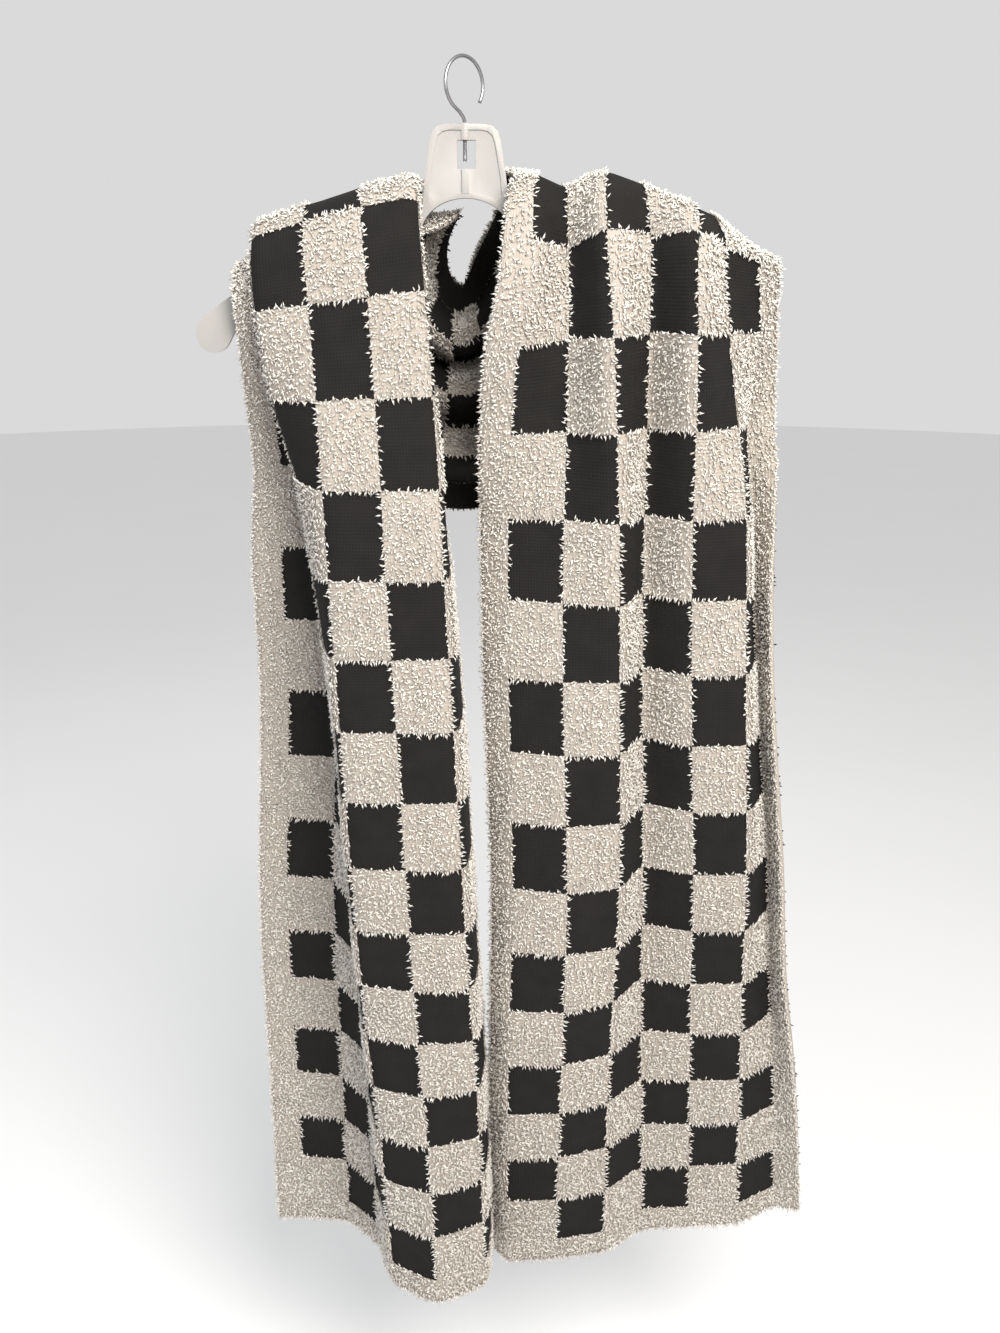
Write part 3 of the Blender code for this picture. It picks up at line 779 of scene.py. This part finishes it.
class SCARF_OT_hook(bpy.types.Operator):
    """The hook's steel wire, whose rough end shows in the hanger's window"""

    bl_idname = "scarf.hook"
    bl_label = "Wire hook"

    def execute(self, context):
        settings = context.scene.scarf_hanger
        radius = settings.wire_thickness / 2
        reach = HOOK_RADIUS * MM
        flat = [(s * MM, z * MM) for s, z in STEM]
        first, last = (math.radians(end) for end in HOOK_ENDS)
        for n in range(HOOK_STEPS + 1):
            angle = first + (last - first) * n / HOOK_STEPS
            flat.append((reach * math.cos(angle), radius - reach * (1 - math.sin(angle))))
        turn = math.radians(HOOK_TURN)
        curve = bpy.data.curves.new("hook_line", "CURVE")
        curve.dimensions = "3D"
        curve.bevel_depth = radius
        curve.bevel_resolution = 5
        curve.use_fill_caps = True
        spline = curve.splines.new("POLY")
        spline.points.add(len(flat) - 1)
        for point, (s, z) in zip(spline.points, flat):
            point.co = (s * math.cos(turn), s * math.sin(turn), z, 1.0)
        guide = bpy.data.objects.new("hook_line", curve)
        context.scene.collection.objects.link(guide)
        mesh = bpy.data.meshes.new_from_object(guide.evaluated_get(context.evaluated_depsgraph_get()))
        bpy.data.objects.remove(guide)
        solid = bmesh.new()
        solid.from_mesh(mesh)
        bmesh.ops.remove_doubles(solid, verts=solid.verts, dist=WIRE_WELD)
        bmesh.ops.recalc_face_normals(solid, faces=solid.faces)
        solid.to_mesh(mesh)
        solid.free()
        mesh.shade_smooth()
        shader = Shader("Drawn steel wire", Metallic=1.0)
        grain = shader.noise(WIRE_GRAIN, detail=3.0, stretch=(1.0, 1.0, 0.2))
        steel = tuple(settings.steel)
        place = shader.node("ShaderNodeTexCoord", {}, {}, "Object")
        height = shader.node("ShaderNodeSeparateXYZ", {}, {0: place}, 2)
        ridges = (height * (2 * math.pi / RIDGE_PITCH)).sine() * height.below(RIDGES_BELOW)
        shader.use(
            Base_Color=shader.mix(grain, steel, scaled(steel, 0.6)),
            Roughness=0.25 + grain * 0.2,
            Normal=shader.bump(ridges + grain * 0.3, distance=0.0002, strength=0.7),
        )
        hook = place_piece("hook_wire", mesh, "hook_wire", shader.material)
        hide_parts("hanger_hook")
        return {"FINISHED"}


class SCARF_OT_studio(bpy.types.Operator):
    """A pale floor, soft studio light and the camera"""

    bl_idname = "scarf.studio"
    bl_label = "Studio"

    def execute(self, context):
        settings = context.scene.scarf_studio
        scene = context.scene
        plane = bmesh.new()
        bmesh.ops.create_circle(plane, cap_ends=True, segments=96, radius=FLOOR_RADIUS)
        bmesh.ops.translate(plane, vec=(0.0, 0.0, CAD_BOX[0][2] - settings.floor_drop), verts=plane.verts)
        mesh = bpy.data.meshes.new("floor")
        plane.to_mesh(mesh)
        plane.free()
        shader = Shader("Pale floor", Roughness=0.85)
        pale = tuple(settings.floor_colour)
        shader.use(Base_Color=shader.mix(shader.noise(FLOOR_GRAIN), pale, scaled(pale, 1.03)))
        mesh.materials.append(shader.material)
        floor = bpy.data.objects.new("floor", mesh)
        scene.collection.objects.link(floor)

        world = bpy.data.worlds.new("Studio air")
        world.use_nodes = True
        background = world.node_tree.nodes["Background"]
        background.inputs["Color"].default_value = (1.0, 1.0, 1.0, 1.0)
        background.inputs["Strength"].default_value = AIR_STRENGTH
        scene.world = world
        for name, place, size, power, colour in LIGHTS:
            self.light(name, place, size, getattr(settings, power), colour)
        scene.view_settings.view_transform = "Standard"

        camera = bpy.data.cameras.new("Camera")
        camera.lens = settings.lens
        camera.sensor_width = SENSOR_WIDTH
        seen = bpy.data.objects.new("Camera", camera)
        seen.location = CAMERA_PLACE
        seen.rotation_euler = (math.radians(90 - CAMERA_TILT), 0.0, 0.0)
        scene.collection.objects.link(seen)
        scene.camera = seen
        return {"FINISHED"}

    def light(self, name, place, size, power, colour):
        """A square soft light that looks at the middle of the scarf."""
        data = bpy.data.lights.new(name, "AREA")
        data.size = size
        data.energy = power
        data.color = colour
        lamp = bpy.data.objects.new(name, data)
        lamp.location = place
        aim = Vector(LIGHTS_AIM) - lamp.location
        lamp.rotation_euler = aim.to_track_quat("-Z", "Y").to_euler()
        bpy.context.scene.collection.objects.link(lamp)


class SCARF_PT_panel(bpy.types.Panel):
    """Lists the scarf's pieces and their settings"""

    bl_idname = "SCARF_PT_panel"
    bl_label = "Check scarf"
    bl_space_type = "VIEW_3D"
    bl_region_type = "UI"
    bl_category = "Scarf"

    def draw(self, context):
        for operator in OPERATORS:
            self.layout.operator(operator.bl_idname)
        for settings in (context.scene.scarf, context.scene.scarf_hanger, context.scene.scarf_studio):
            box = self.layout.box()
            for name in settings.__annotations__:
                box.prop(settings, name)


SETTINGS = {"scarf": ScarfSettings, "scarf_hanger": HangerSettings, "scarf_studio": StudioSettings}
OPERATORS = (SCARF_OT_cloth, SCARF_OT_pile, SCARF_OT_hanger, SCARF_OT_hook, SCARF_OT_studio)


def register():
    for group in (*SETTINGS.values(), *OPERATORS, SCARF_PT_panel):
        bpy.utils.register_class(group)
    for name, group in SETTINGS.items():
        setattr(bpy.types.Scene, name, PointerProperty(type=group))


def unregister():
    for name in SETTINGS:
        delattr(bpy.types.Scene, name)
    for group in reversed((*SETTINGS.values(), *OPERATORS, SCARF_PT_panel)):
        bpy.utils.unregister_class(group)


def main():
    register()
    bpy.ops.scarf.cloth()
    bpy.ops.scarf.pile()
    bpy.ops.scarf.hanger()
    bpy.ops.scarf.hook()
    bpy.ops.scarf.studio()


if __name__ == "__main__":
    main()
